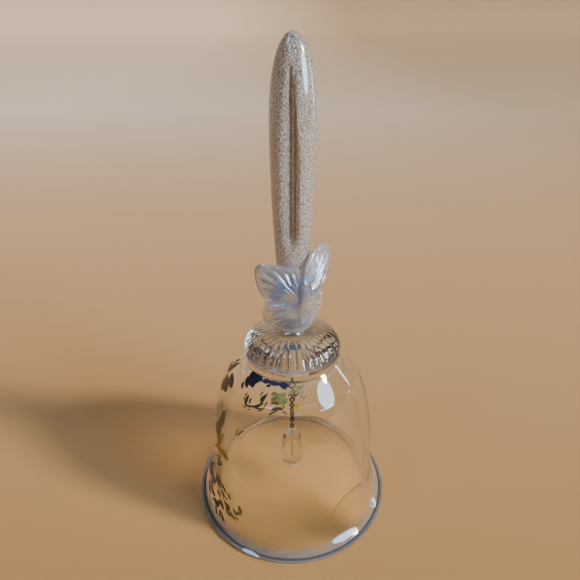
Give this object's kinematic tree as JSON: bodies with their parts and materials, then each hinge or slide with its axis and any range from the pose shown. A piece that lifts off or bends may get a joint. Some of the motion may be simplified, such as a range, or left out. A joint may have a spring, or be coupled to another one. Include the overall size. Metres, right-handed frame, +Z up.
{
  "type": "glass table bell",
  "caption": "Clear glass table bell with a fluted crown, a satin butterfly handle and a glass clapper hanging inside on a fine chain.",
  "frame": {"origin": "centre of the rim, on the surface that the bell stands on", "axes": "+Z up along the bell's axis to the tip of the handle, -Y towards the viewer of the picture, +X to the viewer's right"},
  "size_m": [0.08, 0.08, 0.179],
  "materials": {
    "bell_glass": "clear, blown and polished",
    "crown_glass": "clear, pressed",
    "satin_glass": "acid-satin frosted, pressed",
    "clapper_glass": "clear, polished",
    "adhesive": "clear cured adhesive",
    "film": "clear film, blank",
    "brass": "antiqued",
    "chain": "antiqued, dark"
  },
  "bodies": {
    "bell": {"bell_body": "bell_glass", "crown": "crown_glass", "crown_bond": "adhesive", "handle": "satin_glass", "handle_bond": "adhesive", "hanger_disc": "brass", "hanger_loop": "brass", "hanger_cement": "adhesive", "blank_label": "film"},
    "link_01": {"chain_link_01": "chain"},
    "link_02": {"chain_link_02": "chain"},
    "link_03": {"chain_link_03": "chain"},
    "link_04": {"chain_link_04": "chain"},
    "link_05": {"chain_link_05": "chain"},
    "link_06": {"chain_link_06": "chain"},
    "link_07": {"chain_link_07": "chain"},
    "link_08": {"chain_link_08": "chain"},
    "link_09": {"chain_link_09": "chain"},
    "link_10": {"chain_link_10": "chain"},
    "link_11": {"chain_link_11": "chain"},
    "link_12": {"chain_link_12": "chain"},
    "link_13": {"chain_link_13": "chain"},
    "link_14": {"chain_link_14": "chain"},
    "link_15": {"chain_link_15": "chain"},
    "link_16": {"chain_link_16": "chain"},
    "clapper": {"clapper_pin": "brass", "clapper_glass": "clapper_glass"}
  },
  "joints": [
    {"name": "link_01_swing", "type": "hinge", "parent": "bell", "child": "link_01", "pos_m": [0, 0, 0.0622], "axis": [1, 0, 0], "range_deg": [-25, 25]},
    {"name": "link_02_swing", "type": "hinge", "parent": "link_01", "child": "link_02", "pos_m": [0, 0, 0.06025], "axis": [0, 1, 0], "range_deg": [-25, 25]},
    {"name": "link_03_swing", "type": "hinge", "parent": "link_02", "child": "link_03", "pos_m": [0, 0, 0.0583], "axis": [-1, 0, 0], "range_deg": [-25, 25]},
    {"name": "link_04_swing", "type": "hinge", "parent": "link_03", "child": "link_04", "pos_m": [0, 0, 0.05635], "axis": [0, -1, 0], "range_deg": [-25, 25]},
    {"name": "link_05_swing", "type": "hinge", "parent": "link_04", "child": "link_05", "pos_m": [0, 0, 0.05441], "axis": [-1, 0, 0], "range_deg": [-25, 25]},
    {"name": "link_06_swing", "type": "hinge", "parent": "link_05", "child": "link_06", "pos_m": [0, 0, 0.05246], "axis": [0, -1, 0], "range_deg": [-25, 25]},
    {"name": "link_07_swing", "type": "hinge", "parent": "link_06", "child": "link_07", "pos_m": [0, 0, 0.05051], "axis": [1, 0, 0], "range_deg": [-25, 25]},
    {"name": "link_08_swing", "type": "hinge", "parent": "link_07", "child": "link_08", "pos_m": [0, 0, 0.04856], "axis": [0, 1, 0], "range_deg": [-25, 25]},
    {"name": "link_09_swing", "type": "hinge", "parent": "link_08", "child": "link_09", "pos_m": [0, 0, 0.04661], "axis": [1, 0, 0], "range_deg": [-25, 25]},
    {"name": "link_10_swing", "type": "hinge", "parent": "link_09", "child": "link_10", "pos_m": [0, 0, 0.04466], "axis": [0, 1, 0], "range_deg": [-25, 25]},
    {"name": "link_11_swing", "type": "hinge", "parent": "link_10", "child": "link_11", "pos_m": [0, 0, 0.04272], "axis": [-1, 0, 0], "range_deg": [-25, 25]},
    {"name": "link_12_swing", "type": "hinge", "parent": "link_11", "child": "link_12", "pos_m": [0, 0, 0.04077], "axis": [0, -1, 0], "range_deg": [-25, 25]},
    {"name": "link_13_swing", "type": "hinge", "parent": "link_12", "child": "link_13", "pos_m": [0, 0, 0.03882], "axis": [-1, 0, 0], "range_deg": [-25, 25]},
    {"name": "link_14_swing", "type": "hinge", "parent": "link_13", "child": "link_14", "pos_m": [0, 0, 0.03687], "axis": [0, -1, 0], "range_deg": [-25, 25]},
    {"name": "link_15_swing", "type": "hinge", "parent": "link_14", "child": "link_15", "pos_m": [0, 0, 0.03492], "axis": [1, 0, 0], "range_deg": [-25, 25]},
    {"name": "link_16_swing", "type": "hinge", "parent": "link_15", "child": "link_16", "pos_m": [0, 0, 0.03297], "axis": [0, 1, 0], "range_deg": [-25, 25]},
    {"name": "clapper_swing", "type": "hinge", "parent": "link_16", "child": "clapper", "pos_m": [0, 0, 0.03103], "axis": [1, 0, 0], "range_deg": [-45, 45]}
  ]
}
